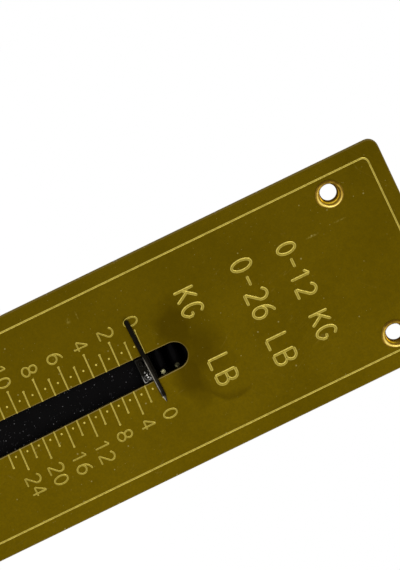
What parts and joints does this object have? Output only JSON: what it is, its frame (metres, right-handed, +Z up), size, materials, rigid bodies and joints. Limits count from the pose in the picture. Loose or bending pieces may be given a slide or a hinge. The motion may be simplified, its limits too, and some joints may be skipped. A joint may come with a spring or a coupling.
{
  "type": "spring scale",
  "caption": "Hanging spring scale: slotted flat face over a channel case, pointer on a sprung draw bar, ring above, hook below.",
  "frame": {"origin": "top of the hanging ring's inside, where the scale hangs", "axes": "+Z up along the scale, -Y out of the graduated face, +X to the right of someone who reads it"},
  "size_m": [0.0324, 0.014, 0.1528],
  "materials": {
    "face_brass": "rolled, lacquered and aged, with engraved marks",
    "eyelet_brass": "drawn and rolled, shiny",
    "black_sheet_steel": "baked black enamel, semi-gloss",
    "rivet_steel": "dark, hammered heads",
    "plated_steel": "dull nickel plate, lightly worn",
    "turned_steel": "turned, oiled",
    "spring_steel": "dark tempered wire, oiled",
    "blackened_bar": "blackened flat steel, fine scratches",
    "pointer_steel": "dark filed steel, bright edges"
  },
  "bodies": {
    "case": {"face_plate": "face_brass", "back_shell": "black_sheet_steel", "corner_eyelets": "eyelet_brass", "eyelet_washers": "eyelet_brass", "top_cap": "black_sheet_steel", "top_cap_rivets": "rivet_steel", "eye_bolt": "plated_steel", "cap_washer": "plated_steel", "lock_nut": "plated_steel", "spring_top_plug": "turned_steel", "main_spring": "spring_steel", "bottom_guide": "black_sheet_steel", "bottom_guide_rivets": "rivet_steel"},
    "draw": {"slide_block": "turned_steel", "draw_bar": "blackened_bar", "pointer_block": "pointer_steel", "pointer": "pointer_steel", "pointer_rivets": "pointer_steel"},
    "ring": {"hang_ring": "plated_steel"},
    "hook": {"load_hook": "plated_steel"}
  },
  "joints": [
    {"name": "draw_slide", "type": "slide", "parent": "case", "child": "draw", "axis": [0, 0, -1], "range_m": [0, 0.024], "stiffness_N_per_m": 4905, "deforming": ["main_spring"]},
    {"name": "ring_swing", "type": "hinge", "parent": "case", "child": "ring", "pos_m": [0, 0, -0.0212], "axis": [1, 0, 0], "range_deg": [-110, 110]},
    {"name": "hook_swing", "type": "hinge", "parent": "draw", "child": "hook", "pos_m": [0, 0, -0.1209], "axis": [0, 1, 0], "range_deg": [-85, 85]}
  ]
}
